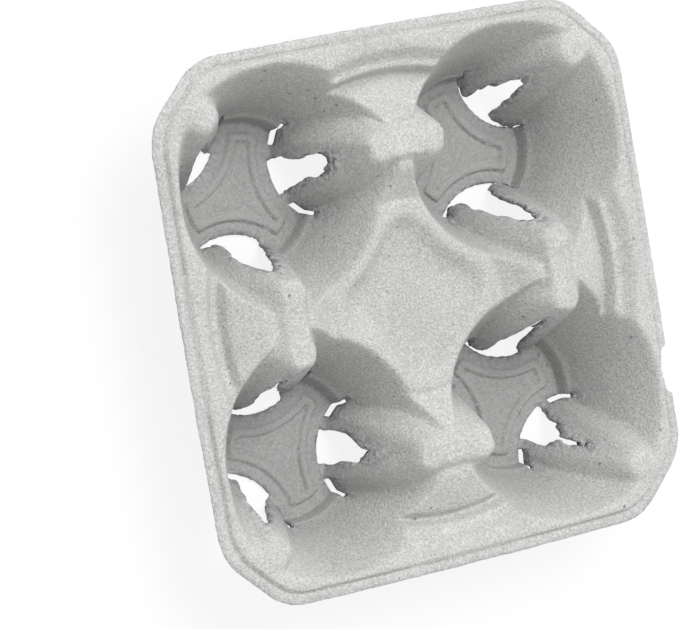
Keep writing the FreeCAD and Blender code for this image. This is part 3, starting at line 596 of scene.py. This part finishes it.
class TRAY_OT_finish(bpy.types.Operator):
    """Give the sheet its rough pulp: grain, fibres, dark specks, frayed edges, and painted shade that
    darkens the wells
    """
    bl_idname = "cup_tray.finish"
    bl_label = "Finish the Pulp"

    def execute(self, context):
        finish = context.scene.pulp_finish
        material = bpy.data.materials.new("moulded_pulp")
        material.use_nodes = True
        tree = material.node_tree
        shader = tree.nodes["Principled BSDF"]
        shader.inputs["Roughness"].default_value = 0.92
        shader.inputs["Specular IOR Level"].default_value = 0.18

        def node(kind, **values):
            made = tree.nodes.new(kind)
            for name, value in values.items():
                if name in made.inputs.keys():
                    made.inputs[name].default_value = value
                else:
                    setattr(made, name, value)
            return made

        def link(start, end):
            tree.links.new(start, end)

        place = node("ShaderNodeTexCoord").outputs["Object"]

        def noise(scale, detail, rough=0.5, warp=0.0):
            made = node("ShaderNodeTexNoise", Scale=scale, Detail=detail, Roughness=rough, Distortion=warp)
            link(place, made.inputs["Vector"])
            return made.outputs["Fac"]

        def ramp(source, low, high, first=0.0, last=1.0):
            made = node("ShaderNodeMapRange")
            for name, value in (("From Min", low), ("From Max", high), ("To Min", first), ("To Max", last)):
                made.inputs[name].default_value = value
            link(source, made.inputs["Value"])
            return made.outputs["Result"]

        def math_node(operation, first, second):
            made = node("ShaderNodeMath", operation=operation)
            for slot, value in enumerate((first, second)):
                if isinstance(value, (int, float)):
                    made.inputs[slot].default_value = value
                else:
                    link(value, made.inputs[slot])
            return made.outputs[0]

        def blend(amount, first, second):
            made = node("ShaderNodeMix", data_type="RGBA")
            for name, value in (("Factor", amount), ("A", first), ("B", second)):
                kind = "VALUE" if name == "Factor" else "RGBA"
                socket = next(s for s in made.inputs if s.name == name and s.type == kind)
                if isinstance(value, bpy.types.NodeSocket):
                    link(value, socket)
                else:
                    socket.default_value = value
            return next(s for s in made.outputs if s.type == "RGBA")

        pulp, pale, speck = colour(finish.pulp), colour(finish.pale), colour(finish.speck)
        dark = tuple(c * 0.66 for c in pulp[:3]) + (1.0,)
        cloud = noise(38.0, 4.0, 0.55)
        grain = noise(620.0, 3.0, 0.65)
        fine = noise(1250.0, 2.0, 0.6)
        tone = blend(math_node("MULTIPLY", ramp(cloud, 0.62, 0.38), 0.30), pulp, dark)
        tone = blend(math_node("MULTIPLY", ramp(grain, 0.50, 0.72), 0.42), tone, pale)
        tone = blend(math_node("MULTIPLY", ramp(fine, 0.52, 0.70), 0.60), tone, pale)
        tone = blend(math_node("MULTIPLY", ramp(fine, 0.50, 0.32), 0.80), tone, dark)
        # fibres: thin bent lines where two noises cross a level
        fibres = ((150.0, 3.0, 0.5, 0.40, pale), (120.0, 9.0, 0.46, 0.30, dark))
        for scale, seed, level, share, shade in fibres:
            bend = node("ShaderNodeTexNoise", noise_dimensions="4D", Scale=scale, Detail=1.0, Distortion=1.2,
                        W=seed)
            link(place, bend.inputs["Vector"])
            away = math_node("ABSOLUTE", math_node("SUBTRACT", bend.outputs["Fac"], level), 0.0)
            thin = ramp(away, 0.012, 0.003)
            patch = ramp(noise(scale * 1.7, 1.0), 0.52, 0.60)
            tone = blend(math_node("MULTIPLY", math_node("MULTIPLY", thin, patch), share), tone, shade)
        torn = node("ShaderNodeAttribute", attribute_name="torn_edge").outputs["Fac"]
        frayed = math_node("MULTIPLY", torn, ramp(noise(420.0, 2.0, 0.7), 0.40, 0.62))
        tone = blend(math_node("MULTIPLY", frayed, 0.75), tone, pale)
        # darker patches of speck colour along the torn edges
        dark_torn_patches = math_node("MULTIPLY", torn, ramp(noise(330.0, 2.0, 0.7, 1.0), 0.56, 0.42))
        tone = blend(math_node("MULTIPLY", dark_torn_patches, 0.80), tone, speck)
        dots = node("ShaderNodeTexVoronoi", Scale=150.0)
        link(place, dots.inputs["Vector"])
        spots = ramp(dots.outputs["Distance"], 0.15, 0.06)
        few = ramp(noise(260.0, 0.0), 0.60, 0.63)
        tone = blend(math_node("MULTIPLY", math_node("MULTIPLY", spots, few), 0.75), tone, speck)
        # painted shade: the pulp colour darkens towards the bottom of the wells, where less light reaches
        height_above = node("ShaderNodeSeparateXYZ")
        link(place, height_above.inputs[0])
        painted_depth_shade = node("ShaderNodeMapRange", interpolation_type="SMOOTHSTEP")
        for name, value in (("From Min", 0.046), ("From Max", -0.004), ("To Min", 0.0), ("To Max", 1.0)):
            painted_depth_shade.inputs[name].default_value = value
        link(height_above.outputs["Z"], painted_depth_shade.inputs["Value"])
        tone = blend(math_node("MULTIPLY", painted_depth_shade.outputs["Result"], 0.60), tone,
                     tuple(c * 0.42 for c in pulp[:3]) + (1.0,))
        link(tone, shader.inputs["Base Color"])

        height = math_node("ADD", math_node("MULTIPLY", grain, 0.55), math_node("MULTIPLY", fine, 0.45))
        bump = node("ShaderNodeBump", Strength=1.0, Distance=0.0008)
        link(height, bump.inputs["Height"])
        link(bump.outputs["Normal"], shader.inputs["Normal"])
        piece = bpy.data.objects["pulp_tray"]
        piece.data.materials.append(material)
        return {"FINISHED"}


class TRAY_OT_stage(bpy.types.Operator):
    """Set up the pale floor, the soft lamps and the camera at the photograph's angle"""
    bl_idname = "cup_tray.stage"
    bl_label = "Set the Stage"

    def execute(self, context):
        scene = context.scene
        clear_selection()
        bpy.ops.mesh.primitive_plane_add(size=6.0, location=(0, 0, -0.0003))
        floor = context.object
        floor.name = "studio_floor"
        material = bpy.data.materials.new("studio_floor")
        material.use_nodes = True
        tree = material.node_tree
        shader = tree.nodes["Principled BSDF"]
        shader.inputs["Base Color"].default_value = (0.9, 0.9, 0.9, 1)
        shader.inputs["Roughness"].default_value = 1.0
        shader.inputs["Specular IOR Level"].default_value = 0.0
        glow = tree.nodes.new("ShaderNodeEmission")
        glow.inputs["Color"].default_value = (1, 1, 1, 1)
        path = tree.nodes.new("ShaderNodeLightPath")
        share = tree.nodes.new("ShaderNodeMath")
        share.operation = "MULTIPLY"
        share.inputs[1].default_value = 0.85
        mix = tree.nodes.new("ShaderNodeMixShader")
        tree.links.new(path.outputs["Is Camera Ray"], share.inputs[0])
        tree.links.new(share.outputs[0], mix.inputs[0])
        tree.links.new(shader.outputs[0], mix.inputs[1])
        tree.links.new(glow.outputs[0], mix.inputs[2])
        tree.links.new(mix.outputs[0], tree.nodes["Material Output"].inputs["Surface"])
        floor.data.materials.append(material)

        world = bpy.data.worlds.new("studio")
        world.use_nodes = True
        world.node_tree.nodes["Background"].inputs["Color"].default_value = (1, 1, 1, 1)
        world.node_tree.nodes["Background"].inputs["Strength"].default_value = 0.67
        scene.world = world

        bpy.ops.object.light_add(type="SUN")
        lamp = context.object
        lamp.name = "window_light"
        lamp.data.energy = 1.95
        lamp.data.angle = math.radians(32)
        lamp.rotation_euler = Vector((0.14, 0.52, 1.0)).to_track_quat("Z", "Y").to_euler()

        bpy.ops.object.camera_add()
        camera = context.object
        camera.name = "photo_camera"
        camera.data.sensor_width = 36.0
        camera.data.lens = 200.98688859619392
        camera.data.clip_start = 0.05
        camera.data.clip_end = 20.0
        right = Vector((0.8592463614586106, -0.16497452523844588, 0.4842304165812884))
        down = Vector((-0.18607687894265465, -0.982524629415255, -0.00455496601263395))
        view = Vector((0.47651976395853657, -0.08619024663362426, -0.874928657629944))
        where = Vector((-0.7401884933909065, 0.12677382414259687, 1.3329455037386392))
        camera.matrix_world = Matrix.Translation(where) @ Matrix((right, -down, -view)).transposed().to_4x4()
        scene.camera = camera
        scene.view_settings.view_transform = "Standard"
        return {"FINISHED"}


class TRAY_PT_panel(bpy.types.Panel):
    """Steps that build the cup tray"""
    bl_label = "Cup Tray"
    bl_idname = "TRAY_PT_panel"
    bl_space_type = "VIEW_3D"
    bl_region_type = "UI"
    bl_category = "Cup Tray"

    def draw(self, context):
        for group in (context.scene.tray_sizes, context.scene.pulp_finish):
            for name in group.__annotations__:
                self.layout.prop(group, name)
        for step in STEPS:
            self.layout.operator(step.bl_idname)


STEPS = (TRAY_OT_sheet, TRAY_OT_finish, TRAY_OT_stage)
CLASSES = (TraySizes, PulpFinish) + STEPS + (TRAY_PT_panel,)


def register():
    for item in CLASSES:
        bpy.utils.register_class(item)
    bpy.types.Scene.tray_sizes = PointerProperty(type=TraySizes)
    bpy.types.Scene.pulp_finish = PointerProperty(type=PulpFinish)


def unregister():
    del bpy.types.Scene.pulp_finish
    del bpy.types.Scene.tray_sizes
    for item in reversed(CLASSES):
        bpy.utils.unregister_class(item)


def main():
    register()
    bpy.ops.cup_tray.sheet()
    bpy.ops.cup_tray.finish()
    bpy.ops.cup_tray.stage()


if __name__ == "__main__":
    main()
